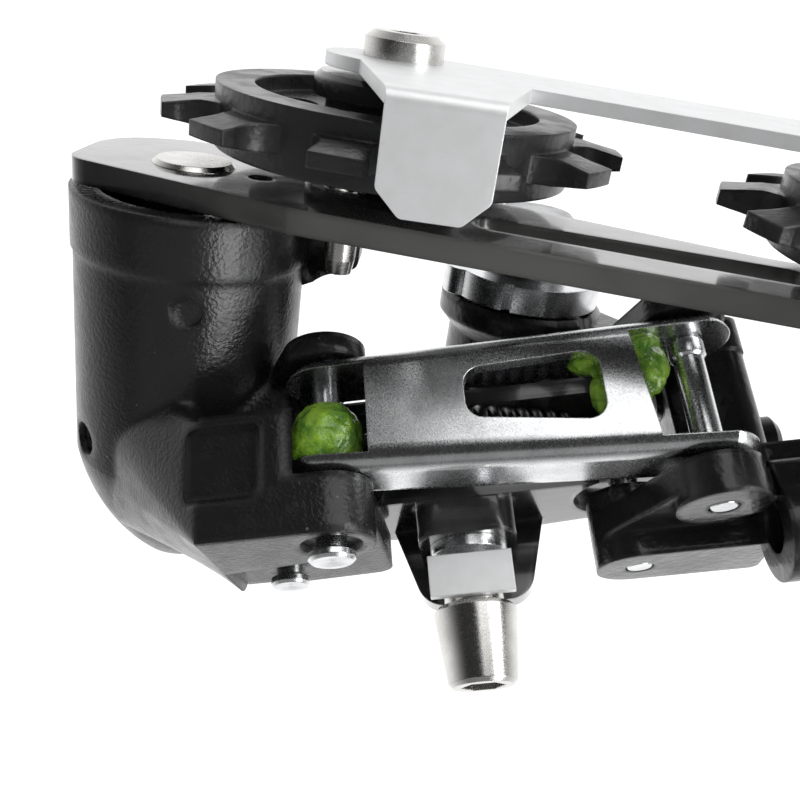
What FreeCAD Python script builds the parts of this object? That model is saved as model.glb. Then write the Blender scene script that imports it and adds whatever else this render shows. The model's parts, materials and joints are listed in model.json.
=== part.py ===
import FreeCAD, Part
import math
import os

# Rear derailleur, millimetres.
# Bench frame: origin on the mounting bolt's axis at the hanger face, z inboard along the bolt.
# Link frame: origin halfway along the inner cage-side pin, x along the links, z inboard along the
# pins.
# The finished pieces are turned from the bench frame to the bicycle's: X forward, Y inboard, Z up.

# Fits
RUN = 0.05                # radial running clearance
GAP = 0.3                 # clearance between faces that pass each other
SIDE_GAP = 0.4            # clearance beside the link ears

# How the derailleur hangs
HANG_ANGLE = 52.0         # degrees from the bench x axis to the vertical

# Cage pivot, guide pulley, tension pulley and stop pin, in the bench frame
PIVOT = (-38.0, -15.0)
GUIDE_REACH = 20.7        # cage pivot to guide pulley
GUIDE_ANGLE = 14.2        # degrees
CAGE_LENGTH = 58.0        # guide pulley to tension pulley
CAGE_ANGLE = -17.6        # degrees
STOP_REACH = 16.15        # cage pivot to stop pin
STOP_ANGLE = -2.0         # degrees

# Parallelogram, in the bench frame: a pin's direction, a point on the inner cage-side pin and a
# link's direction
PIN_DOWN = (0.197, -0.777, -0.598)
LINK_START = (-20.13, -28.39, -11.45)
LINK_LINE = (35.485, 1.822, 9.305)
LINK_LENGTH = 36.7        # pin to pin along each link
SPREAD = 12.0             # inner to outer pin, square to the links
STAGGER = -6.5            # inner to outer pin, along the links
SHIFT_TURN = 55.0         # degrees that the links turn from the smallest to the largest sprocket
PIN_R = 1.5
COLLAR_R = 1.8            # collar below the inboard ear, on the inner bracket pin
COLLAR_LENGTH = 1.8

# Mounting bolt and stop plate
THREAD_R = 5.0
THREAD_LENGTH = 6.2
SHANK_R = 6.0
BOSS_LENGTH = 11.8        # bearing length in the bracket body
BOLT_HEAD_R = 8.0
BOLT_HEAD_LENGTH = 3.6
BOLT_SOCKET = 6.0         # across flats
SOCKET_DEPTH = 4.5
STOP_PLATE = 3.2          # thickness
STOP_PLATE_R = 9.3
HOOK_PAST = 0.7           # how far the hook stands out of the stop plate's rim
HOOK_SIDES = (-4.8, 3.2)
NOTCH_AT = -2.6           # notch in the stop plate's rim
NOTCH_WIDTH = 1.0
NOTCH_DEPTH = 1.1
RING_R = 6.4
RING_INNER_R = 4.3
RING_THICK = 0.8
RING_SUNK = 0.1           # ring below the hanger face

# Bracket body
BOSS_R = 8.4
FLANGE_R = 10.0
FLANGE_THICK = 2.7
EYE_R = 4.4               # lugs round the bracket pins
UPPER_LUG = 2.4           # thickness
LOWER_LUG = 2.9           # thickness between the two bosses
LOWER_BOSS = (4.0, 5.6)   # thickness at the inner and outer pin
WALL_PAST = (-0.7, 8.1)   # faces of the end wall, past the inner bracket pin
WALL_FRONT, WALL_BACK = 5.8, 17.0
CABLE_Y, CABLE_Z = 4.6, -13.6
CABLE_PAST = 5.4          # where the cable leaves its arm, past the inner bracket pin
CABLE_BOSS_R = 5.2
CABLE_BOSS_LENGTH = 10.5
ADJUSTER_R = 2.45
ADJUSTER_HEAD_R = 4.5
ADJUSTER_HEAD_LENGTH = 11.0
HOUSING_R = 2.6           # socket for the outer casing of the cable
HOUSING_DEPTH = 6.5
CABLE_HOLE_R = 0.9

# Set screws
SCREW_R = 1.95
SCREW_HEAD_R = 2.9
SCREW_HEAD = 2.2
LIMIT_Y = 13.0
LIMIT_Z = (4.7, -1.5)
LIMIT_SUNK = (2.8, -0.6)  # seats of the two heads below the end wall's outer face
ANGLE_SCREW_Y = 13.2
ANGLE_SCREW_Z = -6.9
ANGLE_SCREW_TIP = 3.8
ANGLE_SCREW_LENGTH = 10.0
SCREW_EAR = (-3.6, 1.4)   # limits of the ear that the screw is threaded through
TAB_THICK = 2.4           # lug of the stop plate that the screw rests on

# Inner link, a folded sheet
SHEET = 1.5
LINK_TOP = (6.2, 6.5)     # outer face of the inboard flange at the cage end and the bracket end
LINK_BOTTOM = (-6.2, -8.2)
WEB_FRONT = -4.2
EAR_R = (4.2, 4.6)
WEB_INSET = (4.5, 5.55)   # web's ends from the two pins
WEB_SLANT = 1.15          # lean of the web's bracket end
BEND_R = 2.2
WINDOW = ((14.1, -2.5), (27.3, -4.3), (27.3, 3.2), (14.1, 2.7))
WINDOW_R = 1.8

# Outer link, a casting
OUTER_EYE_R = 4.6
OUTER_TOP, OUTER_BOTTOM = 6.2, -6.2
OUTER_BACK = 20.0
OUTER_SKIN = 2.8
OUTER_FLANGE = 1.9
SKIRT_FROM, SKIRT_TO = 4.0, 22.0
SKIRT_BOTTOM = -15.0
SEAT_Z = -9.9
HOOK_SLOT = 4.6           # room for the spring hook between the bracket-side ears

# Cable clamp
CLAMP_X, CLAMP_Y = 12.8, 12.2
CLAMP_BOLT_R = 2.5
WASHER_R = 4.1
WASHER_THICK = 2.1
CLAMP_PLATE = 8.6         # width of the square plate
CLAMP_SHEET = 1.2
CLAMP_FOLD = 4.2
CLAMP_HEAD_R = (4.35, 3.5)
CLAMP_NECK = 3.4
CLAMP_HEAD_LENGTH = 8.0
CLAMP_SOCKET = 4.0        # across flats

# Return spring across the parallelogram
RETURN_WIRE = 1.3
RETURN_R = 2.6            # mean coil radius
RETURN_TURNS = 12
RETURN_PITCH = 1.6
HOOK_R = 2.6              # mean radius of the hooks round the pins

# Cage knuckle
DRUM_R = 12.2
RIM_R = 12.45
RIM_DEPTH = 6.0
DRUM_END = -35.8
DRUM_SHOULDER = -22.5     # where the drum starts to round towards its end
DRUM_FLAT_R = 5.0         # flat at the drum's end
DRUM_BULGE = (10.1, -28.8)  # radius and height halfway round the drum's end
CAVITY_R = 9.6
CAVITY_END = -11.0
AXLE_R = 4.0
AXLE_END = -24.0
LUG_R = (4.3, 4.4)        # eyes round the inner and outer pins
CAGE_LUG_TOP = 2.2        # thickness of the inboard lug
CAGE_LUG_BOTTOM = -12.4   # outboard face of the outboard lug
BRIDGE_TOP = 0.5          # inboard face of the bridge in front of the links
BRIDGE_HEIGHT = 22.6      # bridge at the drum, above the drum's end
BRIDGE_ROOT = 5.5         # bridge's end, from the outer cage-side pin
PIN_NECK = 1.7            # how far the cage-side pins stand out of their lug
PIN_HEAD_R = (2.3, 2.1)   # heads of the inner and outer cage-side pin
PIN_SINK_R = 3.05         # countersink round the inner pin's head
PIN_SINK = 0.8
OUTER_LUG_RISE = 1.5      # outboard lug at the outer pin, above its face at the inner pin
OUTER_LUG_TIP = (2.2, 13.5, 2.2)  # free corner of that lug and its radius
OUTER_LUG_SUNK = 0.9      # that lug's free corner below the links' room
OUTER_LUG_FROM = 6.0      # where that lug starts, away from the inner pin
BRIDGE_BACK = 5.0         # how far past the drum's axis the bridge starts
HIGH_WEB_FRONT = 2.5      # front of the casting behind the inboard lug, in the link frame
HIGH_WEB_ROOT = 8.5       # its end, from the outer cage-side pin
STOP_LUG_FALL = 4.3       # how much deeper the stop lug is at the drum than at its end
STOP_LUG_THICK = 4.5
PANEL = ((-13.5, -8.2), (-5.9, -0.6))  # sunk panel on the bridge, two corners in the link frame
PANEL_DEPTH = 0.9
SEAT_SCREW_Z = -19.8
SEAT_SCREW_ANGLE = 222.0
SEAT_SCREW_R = 1.9
MARK_R = 1.5              # moulded mark on the drum
MARK_DEPTH = 0.35
MARK_Z = -2.0
MARK_ANGLE = -76.0
COIL_R = 7.4              # cage spring, mean radius
COIL_WIRE = 2.0
COIL_TURNS = 5
COIL_PITCH = 2.7
TANG_BEND = 2.0           # bend of the wire towards its two tangs
TANG_LENGTH = 1.2

# Cage
OUTER_FACE = 10.0         # inboard face of the outer plate
OUTER_PLATE = 2.5
CAGE_GAP = 11.4
INNER_PLATE = 1.3
INNER_PLATE_R = 8.0       # round ends
# Corners of the outer plate as x, y and radius, from the cage pivot, the pulleys and the pivot again
PLATE_PIVOT_END = ((-11.8, 9.0, 8.0), (-11.8, -4.6, 3.0), (12.4, -12.6, 12.0))
PLATE_TENSION_END = ((8.0, -10.2, 8.0), (9.5, 8.2, 7.0), (-15.5, 6.7, 14.0))
PLATE_GUIDE_SIDE = ((11.0, -2.4, 6.0), (5.6, 7.4, 6.0))
PLATE_BACK = ((-4.0, 12.2, 8.0),)
SLOT_LEFT = ((9.4, 2.7, 2.2), (9.4, 7.2, 2.2))
SLOT_RIGHT = ((-14.5, -1.9, 2.4), (-13.5, 3.8, 2.4))
PIN_STOP_R = 1.9
PIN_STOP_LENGTH = 6.6
RIVET_R = 4.35
STOP_RIVET_R = 2.5
RIVET_HEAD = 0.5
TAB_WIDTH = 9.6
TAB_END = 12.6            # height of the tab's free edge
TAB_REACH = 25.3          # guide pulley to the tab's inner face
TAB_SIDE = 5.0            # tab's middle, past the guide pulley along the bench x axis

# Pulleys
TEETH = 11
CHAIN_PITCH = 12.7
ROLLER_R = 4.05
TOOTH_TIP_R = 24.2
TOOTH_THICK = 2.6
TOOTH_TIP_THICK = 1.4
RIM_OUTER_R = 18.9
RIM_INNER_R = 15.0
RIM_THICK = 6.2
HUB_R = 7.6
HUB_THICK = 6.0
SPOKE_HOLES = 6
SPOKE_HOLE_R = 2.9
BUSH_R = 4.0
PULLEY_BOLT_R = 2.5
CAP_R = 9.0
CAP_THICK = 1.1
PULLEY_HEAD_R = 4.2
PULLEY_HEAD = 2.6
PULLEY_SOCKET = 3.0


def vec(x, y, z=0.0):
    return FreeCAD.Vector(x, y, z)


def polar(start, reach, degrees):
    angle = math.radians(degrees)
    return (start[0] + reach * math.cos(angle), start[1] + reach * math.sin(angle))


# Worked-out places
GUIDE = polar(PIVOT, GUIDE_REACH, GUIDE_ANGLE)
TENSION = polar(GUIDE, CAGE_LENGTH, CAGE_ANGLE)
STOP = polar(PIVOT, STOP_REACH, STOP_ANGLE)
OUTER_BACK_FACE = OUTER_FACE - OUTER_PLATE
INNER_FACE = OUTER_FACE + CAGE_GAP
MID_PLANE = OUTER_FACE + CAGE_GAP / 2
CAGE_IN, CAGE_OUT = (0.0, 0.0), (STAGGER, SPREAD)
BRACKET_IN, BRACKET_OUT = (LINK_LENGTH, 0.0), (LINK_LENGTH + STAGGER, SPREAD)
WALL_FROM, WALL_TO = LINK_LENGTH + WALL_PAST[0], LINK_LENGTH + WALL_PAST[1]
CABLE_FACE = LINK_LENGTH + CABLE_PAST
WEB_ENDS = (WEB_INSET[0], LINK_LENGTH - WEB_INSET[1])
BOSS_TOP = -STOP_PLATE - GAP
BOSS_END = BOSS_TOP - BOSS_LENGTH
HEAD_TOP = BOSS_END - GAP
HEAD_END = HEAD_TOP - BOLT_HEAD_LENGTH
UPPER_FROM = LINK_TOP[1] + SIDE_GAP
UPPER_TO = UPPER_FROM + UPPER_LUG
LOWER_TO = LINK_BOTTOM[1] - SIDE_GAP
LOWER_FROM = LOWER_TO - LOWER_LUG
CAGE_LUG_FROM = LINK_TOP[0] + GAP
CAGE_LUG_TO = CAGE_LUG_FROM + CAGE_LUG_TOP
POCKET_BOTTOM = LINK_BOTTOM[0] - GAP
OUTER_EAR_BOTTOM = -4.7
COLLAR_TOP = LINK_TOP[1] - SHEET - GAP
OUTER_LUG_BOTTOM = CAGE_LUG_BOTTOM + OUTER_LUG_RISE


def frame(origin, x_axis, z_axis):
    """Placement whose x and z run along the given directions."""
    z_dir = vec(*z_axis).normalize()
    y_dir = z_dir.cross(vec(*x_axis)).normalize()
    x_dir = y_dir.cross(z_dir)
    matrix = FreeCAD.Matrix(
        x_dir.x, y_dir.x, z_dir.x, origin[0],
        x_dir.y, y_dir.y, z_dir.y, origin[1],
        x_dir.z, y_dir.z, z_dir.z, origin[2],
        0, 0, 0, 1,
    )
    return FreeCAD.Placement(matrix)


LINKS = frame(LINK_START, LINK_LINE, [-part for part in PIN_DOWN])
HANG = math.radians(HANG_ANGLE)
BIKE = frame((0, 0, 0), (-math.sin(HANG), 0, math.cos(HANG)), (0, 1, 0))


def moved(shape, placement):
    copy = shape.copy()
    copy.Placement = placement.multiply(copy.Placement)
    return copy


def cyl(radius, low, high, at=(0.0, 0.0)):
    return Part.makeCylinder(radius, high - low, vec(at[0], at[1], low))


def along_x(radius, start, end, y, z):
    return Part.makeCylinder(radius, end - start, vec(start, y, z), vec(1, 0, 0))


def block(x, y, z):
    """Box between pairs of limits."""
    return Part.makeBox(x[1] - x[0], y[1] - y[0], z[1] - z[0], vec(x[0], y[0], z[0]))


def turned(profile, at=(0.0, 0.0)):
    """Solid of revolution about z; the profile holds (radius, height) corners."""
    points = [vec(radius, 0, height) for radius, height in profile]
    face = Part.Face(Part.makePolygon(points + points[:1]))
    solid = face.revolve(vec(0, 0, 0), vec(0, 0, 1), 360)
    solid.translate(vec(at[0], at[1], 0))
    return solid


def outline(corners):
    """Closed flat wire through (x, y, radius) corners, each rounded to its radius."""
    count = len(corners)
    rounds = []
    for index, (x, y, radius) in enumerate(corners):
        here = vec(x, y)
        back = (vec(*corners[index - 1][:2]) - here).normalize()
        ahead = (vec(*corners[(index + 1) % count][:2]) - here).normalize()
        half = back.getAngle(ahead) / 2
        inward = (back + ahead).normalize()
        reach = radius / math.tan(half)
        crest = here + inward * (radius / math.sin(half) - radius)
        rounds.append((here + back * reach, crest, here + ahead * reach))
    edges = []
    for index, (start, crest, end) in enumerate(rounds):
        if start.distanceToPoint(end) > 1e-6:
            edges.append(Part.Arc(start, crest, end).toShape())
        onward = rounds[(index + 1) % count][0]
        if end.distanceToPoint(onward) > 1e-6:
            edges.append(Part.makeLine(end, onward))
    return Part.Wire(edges)


def slab(corners, low, high):
    face = Part.Face(outline(corners))
    face.translate(vec(0, 0, low))
    return face.extrude(vec(0, 0, high - low))


def strap(first, first_r, second, second_r, low, high):
    """Flat bar with two round ends."""
    run = vec(second[0] - first[0], second[1] - first[1])
    length = run.Length
    lean = math.acos((first_r - second_r) / length)
    heading = math.atan2(run.y, run.x)
    corners = []
    for middle, radius in ((first, first_r), (second, second_r)):
        for side in (1, -1):
            angle = heading + side * lean
            side_x = middle[0] + radius * math.cos(angle)
            side_y = middle[1] + radius * math.sin(angle)
            corners.append(vec(side_x, side_y))
    body = Part.Face(Part.makePolygon([corners[0], corners[2], corners[3], corners[1], corners[0]]))
    body.translate(vec(0, 0, low))
    bar = body.extrude(vec(0, 0, high - low))
    ends = [cyl(first_r, low, high, first), cyl(second_r, low, high, second)]
    return bar.fuse(ends).removeSplitter()


def hexagon(across, low, high, at=(0.0, 0.0)):
    radius = across / math.sqrt(3)
    points = [vec(*polar(at, radius, 60 * k), low) for k in range(7)]
    return Part.Face(Part.makePolygon(points)).extrude(vec(0, 0, high - low))


def wound(start, heading, wire_r, steps):
    """Round wire along runs and arcs; a step is a length, or an arc's centre and its degrees."""
    here, way = vec(*start), vec(*heading)
    stretches = []
    for step in steps:
        section = Part.Face(Part.Wire(Part.makeCircle(wire_r, here, way)))
        if isinstance(step, tuple):
            centre, degrees = step
            arm = here - centre
            axis = arm.cross(way)
            stretches.append(section.revolve(centre, axis, degrees))
            turn = FreeCAD.Rotation(axis, degrees)
            here = centre + turn.multVec(arm)
            way = turn.multVec(way)
        else:
            stretches.append(section.extrude(way * step))
            here = here + way * step
    return stretches[0].fuse(stretches[1:]).removeSplitter()


def half_turns(low, turns, pitch):
    """Steps of a coil about z: each half turn is an arc that leans by half the pitch."""
    return [(vec(0, 0, low + pitch * (2 * k + 1) / 4), 180) for k in range(2 * turns)]


# Mounting bolt, stop plate and ring

def mounting_bolt():
    groove = -RING_SUNK - RING_THICK
    profile = [
        (0, HEAD_END), (BOLT_HEAD_R - 0.6, HEAD_END), (BOLT_HEAD_R, HEAD_END + 0.6),
        (BOLT_HEAD_R, HEAD_TOP), (SHANK_R, HEAD_TOP), (SHANK_R, -STOP_PLATE), (THREAD_R, -STOP_PLATE),
        (THREAD_R, groove), (RING_INNER_R, groove), (RING_INNER_R, groove + RING_THICK),
        (THREAD_R, groove + RING_THICK), (THREAD_R, THREAD_LENGTH),
        (THREAD_R - 0.9, THREAD_LENGTH + 0.9), (0, THREAD_LENGTH + 0.9),
    ]
    return turned(profile).cut(hexagon(BOLT_SOCKET, HEAD_END, HEAD_END + SOCKET_DEPTH))


def bolt_ring():
    low = -RING_SUNK - RING_THICK
    ring = cyl(RING_R, low, low + RING_THICK).cut(cyl(RING_INNER_R, low, low + RING_THICK))
    mouth = block((-1.6, 1.6), (0, RING_R + 1), (low, low + RING_THICK))
    return ring.cut(mouth)


def stop_plate():
    tab_side = (ANGLE_SCREW_TIP + RUN * 4, ANGLE_SCREW_TIP + RUN * 4 + TAB_THICK)
    tab_end = ANGLE_SCREW_Y + SCREW_R + 0.6
    plate = cyl(STOP_PLATE_R, -STOP_PLATE, 0)
    hook_end = -STOP_PLATE_R - HOOK_PAST
    near, far = HOOK_SIDES
    hook = slab([(hook_end, near, 2.2), (-4, near - 1, 0), (-4, far + 1, 0), (hook_end, far, 2.2)],
                -STOP_PLATE, 0)
    neck = block(tab_side, (STOP_PLATE_R - 3, tab_end), (-STOP_PLATE, 0))
    tab_low = ANGLE_SCREW_Z - SCREW_R - 0.5
    tab = block(tab_side, (FLANGE_R + SIDE_GAP, tab_end), (tab_low, -STOP_PLATE))
    body = plate.fuse([hook, neck, tab]).removeSplitter()
    recess = cyl(RING_R + GAP, -RING_SUNK - RING_THICK - GAP, RING_SUNK)
    notch_sides = (NOTCH_AT - NOTCH_WIDTH / 2, NOTCH_AT + NOTCH_WIDTH / 2)
    notch = block(notch_sides, (-STOP_PLATE_R - 1, -STOP_PLATE_R + NOTCH_DEPTH), (-STOP_PLATE, 0))
    return body.cut([cyl(THREAD_R + RUN, -STOP_PLATE - 0.1, 0.1), recess, notch])


# Bracket body, its pins and screws

def bracket_top():
    boss = turned([
        (0, BOSS_END), (BOSS_R - 1, BOSS_END), (BOSS_R, BOSS_END + 1),
        (BOSS_R, BOSS_TOP - FLANGE_THICK - 1.8), (FLANGE_R, BOSS_TOP - FLANGE_THICK),
        (FLANGE_R, BOSS_TOP - 0.6), (FLANGE_R - 0.6, BOSS_TOP), (0, BOSS_TOP),
    ])
    arm_low, arm_high = BOSS_END + 1.5, BOSS_TOP - 1.0
    reach = LINKS.multVec(vec(*BRACKET_OUT, UPPER_TO))
    inner_edge = reach.x - 0.8
    arm = slab([
        (2, 6, 3), (BOSS_R, 2, 3), (reach.x + 9.5, reach.y + 4.0, 4), (reach.x + 10, reach.y - 4.5, 4),
        (reach.x + 3, reach.y - 8, 3), (inner_edge, reach.y - 5, 2), (inner_edge, -7, 1), (2, -4, 0),
    ], arm_low, arm_high)
    ear_end = ANGLE_SCREW_Y + SCREW_R + 1.4
    ear = slab([
        (SCREW_EAR[0], 3, 0), (SCREW_EAR[1], 3, 0), (SCREW_EAR[1], ear_end, 1.5),
        (SCREW_EAR[0], ear_end, 1.5),
    ], ANGLE_SCREW_Z - SCREW_R - 1.2, BOSS_TOP - 0.4)
    lug = strap(BRACKET_IN, EYE_R, BRACKET_OUT, EYE_R, UPPER_FROM, UPPER_TO)
    heel = slab([
        (BRACKET_OUT[0] - EYE_R, SPREAD - 2, 2), (BRACKET_OUT[0] + EYE_R, SPREAD - 7, 2),
        (WALL_TO, WALL_FRONT, 2), (WALL_TO, WALL_BACK, 3), (BRACKET_OUT[0] - EYE_R, WALL_BACK, 3),
    ], UPPER_FROM, UPPER_TO + 1.5)
    body = boss.fuse([arm, ear, moved(lug.fuse(heel), LINKS)]).removeSplitter()
    far = 40
    links_room = block((-far, WALL_FROM + 1), (-far, OUTER_BACK + 2), (-far, UPPER_FROM))
    cage_room = cyl(FLANGE_R + 3.6, BOSS_TOP, far)
    boss_front = block((-far, inner_edge - 2.2), (-far, -FLANGE_R), (-far, far))
    return body.cut([moved(links_room, LINKS), cage_room.fuse(boss_front)])


def cable_arm():
    """Arm that the cable adjuster is screwed into, with its face towards the links."""
    end = CABLE_FACE + CABLE_BOSS_LENGTH
    barrel = along_x(CABLE_BOSS_R, CABLE_FACE, end, CABLE_Y, CABLE_Z)
    root = WALL_FRONT + 6
    web = slab([
        (CABLE_Y - CABLE_BOSS_R, CABLE_Z, 0), (CABLE_Y + CABLE_BOSS_R, CABLE_Z, 0),
        (root, LOWER_TO + 3, 0), (CABLE_Y - CABLE_BOSS_R + 1.5, LOWER_TO + 0.6, 1.2),
    ], CABLE_FACE, WALL_TO + 3)
    web.Placement = frame((0, 0, 0), (0, 1, 0), (1, 0, 0))
    gusset = slab([
        (WALL_TO - 3, CABLE_Y - 2, 1), (end - 2, CABLE_Y - 2, 1), (end - 2, CABLE_Y + 2, 1),
        (WALL_TO - 3, WALL_BACK - 1, 1),
    ], CABLE_Z + ADJUSTER_R + 1, LOWER_TO + 3)
    return barrel.fuse([web, gusset])


def bracket_body():
    wall = slab([
        (WALL_FROM, WALL_BACK, 2), (WALL_FROM, WALL_FRONT + 2.4, 1), (WALL_FROM + 2.4, WALL_FRONT, 1),
        (WALL_TO, WALL_FRONT, 2.5), (WALL_TO, WALL_BACK, 3),
    ], LOWER_FROM, UPPER_TO)
    lower = strap(BRACKET_IN, EYE_R, BRACKET_OUT, EYE_R, LOWER_FROM, LOWER_TO)
    floor = slab([
        (BRACKET_OUT[0] - EYE_R + 2, WALL_BACK - 1, 3), (BRACKET_OUT[0] + EYE_R, SPREAD - 8, 1),
        (WALL_TO, WALL_FRONT - 6, 3), (WALL_TO, WALL_BACK, 3),
    ], LOWER_FROM, LOWER_TO)
    post = cyl(EYE_R, LOWER_TO, OUTER_EAR_BOTTOM - 1.7, BRACKET_OUT)
    inner_boss = cyl(EYE_R, LOWER_TO - LOWER_BOSS[0], LOWER_TO, BRACKET_IN)
    outer_boss = slab([
        (BRACKET_OUT[0] - EYE_R, SPREAD - EYE_R, EYE_R - 0.2), (CABLE_FACE + 1, SPREAD - EYE_R, 1),
        (CABLE_FACE + 1, SPREAD + EYE_R, 1), (BRACKET_OUT[0] - EYE_R, SPREAD + EYE_R, EYE_R - 0.2),
    ], LOWER_TO - LOWER_BOSS[1], LOWER_TO)
    lower_parts = (wall, lower, floor, post, inner_boss, outer_boss, cable_arm())
    body = bracket_top().fuse([moved(part, LINKS) for part in lower_parts]).removeSplitter()
    long = 80
    pin_holes = [moved(cyl(PIN_R, -long, long, at), LINKS) for at in (BRACKET_IN, BRACKET_OUT)]
    cable_end = CABLE_FACE + CABLE_BOSS_LENGTH
    cable_hole = along_x(ADJUSTER_R + RUN, CABLE_FACE - 1, cable_end + 6, CABLE_Y, CABLE_Z)
    cuts = [cable_hole]
    for z, sunk in zip(LIMIT_Z, LIMIT_SUNK):
        cuts.append(along_x(SCREW_R + RUN, WALL_FROM - 4, WALL_TO + 6, LIMIT_Y, z))
        cuts.append(along_x(SCREW_HEAD_R + GAP, WALL_TO - sunk - RUN, WALL_TO + 6, LIMIT_Y, z))
    screw_hole = along_x(SCREW_R + RUN, SCREW_EAR[0] - 10, SCREW_EAR[1] + 10, ANGLE_SCREW_Y, ANGLE_SCREW_Z)
    bolt_hole = cyl(SHANK_R + RUN, BOSS_END - 20, BOSS_TOP + 20)
    head_room = cyl(BOLT_HEAD_R + 1.0, BOSS_END - 30, BOSS_END)
    cuts = [moved(cut, LINKS) for cut in cuts]
    return body.cut(pin_holes + cuts + [screw_hole, bolt_hole, head_room])


def flush_pin(at, low, high, collar_top=None):
    """Pin peened level with its lugs, with a collar where its top is given."""
    edge = 0.3
    profile = [(0, low), (PIN_R - edge, low), (PIN_R, low + edge)]
    if collar_top is not None:
        foot = collar_top - COLLAR_LENGTH
        profile += [(PIN_R, foot), (COLLAR_R, foot + edge), (COLLAR_R, collar_top), (PIN_R, collar_top)]
    profile += [(PIN_R, high - edge), (PIN_R - edge, high), (0, high)]
    return moved(turned(profile, at), LINKS)


def headed_pin(at, low, high, head_r):
    """Pin whose outboard end stands out of the lug and is upset to a dished head."""
    head = 0.9
    edge = 0.3
    end = low - PIN_NECK
    profile = [
        (0, end + edge), (head_r - 0.9, end), (head_r - edge, end), (head_r, end + edge),
        (head_r, end + head), (PIN_R, end + head + edge), (PIN_R, high - edge), (PIN_R - edge, high),
        (0, high),
    ]
    return moved(turned(profile, at), LINKS)


def screw(length, head_r=SCREW_HEAD_R):
    """Pan-head screw along x: its tip at 0, its head past the far end of the thread."""
    top = length + SCREW_HEAD
    profile = [
        (0, 0), (SCREW_R - 0.5, 0), (SCREW_R, 0.5), (SCREW_R, length), (head_r, length),
        (head_r, top - 0.7), (head_r - 0.8, top), (0, top),
    ]
    body = turned(profile)
    half_slot, half_width, deep = 1.9, 0.4, (top - 1.2, top)
    slots = [
        block((-half_slot, half_slot), (-half_width, half_width), deep),
        block((-half_width, half_width), (-half_slot, half_slot), deep),
    ]
    body = body.cut(slots)
    body.rotate(vec(0, 0, 0), vec(0, 1, 0), 90)
    return body


def limit_screw(z, sunk):
    tip = BRACKET_OUT[0] + OUTER_EYE_R + 0.7
    part = screw(WALL_TO - sunk - tip)
    part.translate(vec(tip, LIMIT_Y, z))
    return moved(part, LINKS)


def angle_screw():
    part = screw(ANGLE_SCREW_LENGTH)
    part.rotate(vec(0, 0, 0), vec(0, 0, 1), 180)
    part.translate(vec(ANGLE_SCREW_TIP, ANGLE_SCREW_Y, ANGLE_SCREW_Z))
    return part


def cable_adjuster():
    start = CABLE_FACE + 2.0
    shoulder = CABLE_FACE + CABLE_BOSS_LENGTH + GAP
    end = shoulder + ADJUSTER_HEAD_LENGTH
    profile = [
        (CABLE_HOLE_R, start), (ADJUSTER_R - 0.4, start), (ADJUSTER_R, start + 0.4),
        (ADJUSTER_R, shoulder), (ADJUSTER_HEAD_R - 0.6, shoulder), (ADJUSTER_HEAD_R, shoulder + 0.6),
        (ADJUSTER_HEAD_R, end - 2.5), (ADJUSTER_HEAD_R - 1.0, end), (HOUSING_R, end),
        (HOUSING_R, end - HOUSING_DEPTH), (CABLE_HOLE_R, end - HOUSING_DEPTH),
    ]
    body = turned(profile)
    flutes = 10
    cutters = []
    for k in range(flutes):
        at = polar((0, 0), ADJUSTER_HEAD_R + 0.45, 360.0 * k / flutes)
        cutters.append(cyl(0.9, shoulder + 1.2, end - 2.7, at))
    body = body.cut(cutters)
    body.rotate(vec(0, 0, 0), vec(0, 1, 0), 90)
    body.translate(vec(0, CABLE_Y, CABLE_Z))
    return moved(body, LINKS)


# Links and cable clamp

def taper(grow, front, back):
    """Link's side view between its flanges, from y front to y back; grow moves its faces out."""
    past = 12.0
    slope_top = (LINK_TOP[1] - LINK_TOP[0]) / LINK_LENGTH
    slope_bottom = (LINK_BOTTOM[1] - LINK_BOTTOM[0]) / LINK_LENGTH
    left, right = -past, LINK_LENGTH + past
    points = [
        vec(left, front, LINK_BOTTOM[0] + slope_bottom * left - grow),
        vec(right, front, LINK_BOTTOM[0] + slope_bottom * right - grow),
        vec(right, front, LINK_TOP[0] + slope_top * right + grow),
        vec(left, front, LINK_TOP[0] + slope_top * left + grow),
    ]
    return Part.Face(Part.makePolygon(points + points[:1])).extrude(vec(0, back - front, 0))


def inner_link():
    low, high = LINK_BOTTOM[1] - 4, LINK_TOP[1] + 4
    plan = strap(CAGE_IN, EAR_R[0], BRACKET_IN, EAR_R[1], low, high)
    nose = block((0, LINK_LENGTH), (WEB_FRONT, 0), (low, high))
    plan = plan.fuse(nose).removeSplitter()
    trim = block((-20, LINK_LENGTH + 20), (WEB_FRONT - 5, WEB_FRONT), (low, high))
    outer = plan.cut(trim).common(taper(0, WEB_FRONT - 1, EAR_R[1] + 1))
    bends = [edge for edge in outer.Edges
             if edge.Length > LINK_LENGTH - 2 and abs(edge.CenterOfMass.y - WEB_FRONT) < 0.01]
    outer = outer.makeFillet(BEND_R, bends)
    hollow = taper(-SHEET, WEB_FRONT + SHEET, EAR_R[1] + 2)
    open_left = taper(-SHEET, WEB_FRONT - 1, EAR_R[1] + 2).common(
        block((-20, WEB_ENDS[0]), (-10, 20), (low, high)))
    past = LINK_LENGTH + 20
    end_cut = slab([
        (WEB_ENDS[1] + WEB_SLANT, low, 0), (past, low, 0), (past, high, 0),
        (WEB_ENDS[1] - WEB_SLANT, high, 0),
    ], -20, 10)
    end_cut.rotate(vec(0, 0, 0), vec(1, 0, 0), 90)
    open_right = taper(-SHEET, WEB_FRONT - 1, EAR_R[1] + 2).common(end_cut)
    window = slab([(x, z, WINDOW_R) for x, z in WINDOW], -1, 1 + SHEET * 2)
    window.rotate(vec(0, 0, 0), vec(1, 0, 0), 90)
    window.translate(vec(0, WEB_FRONT + SHEET * 2, 0))
    holes = [cyl(PIN_R + RUN, low, high, at) for at in (CAGE_IN, BRACKET_IN)]
    link = outer.cut([hollow, open_left, open_right, window] + holes)
    return moved(link, LINKS)


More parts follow.
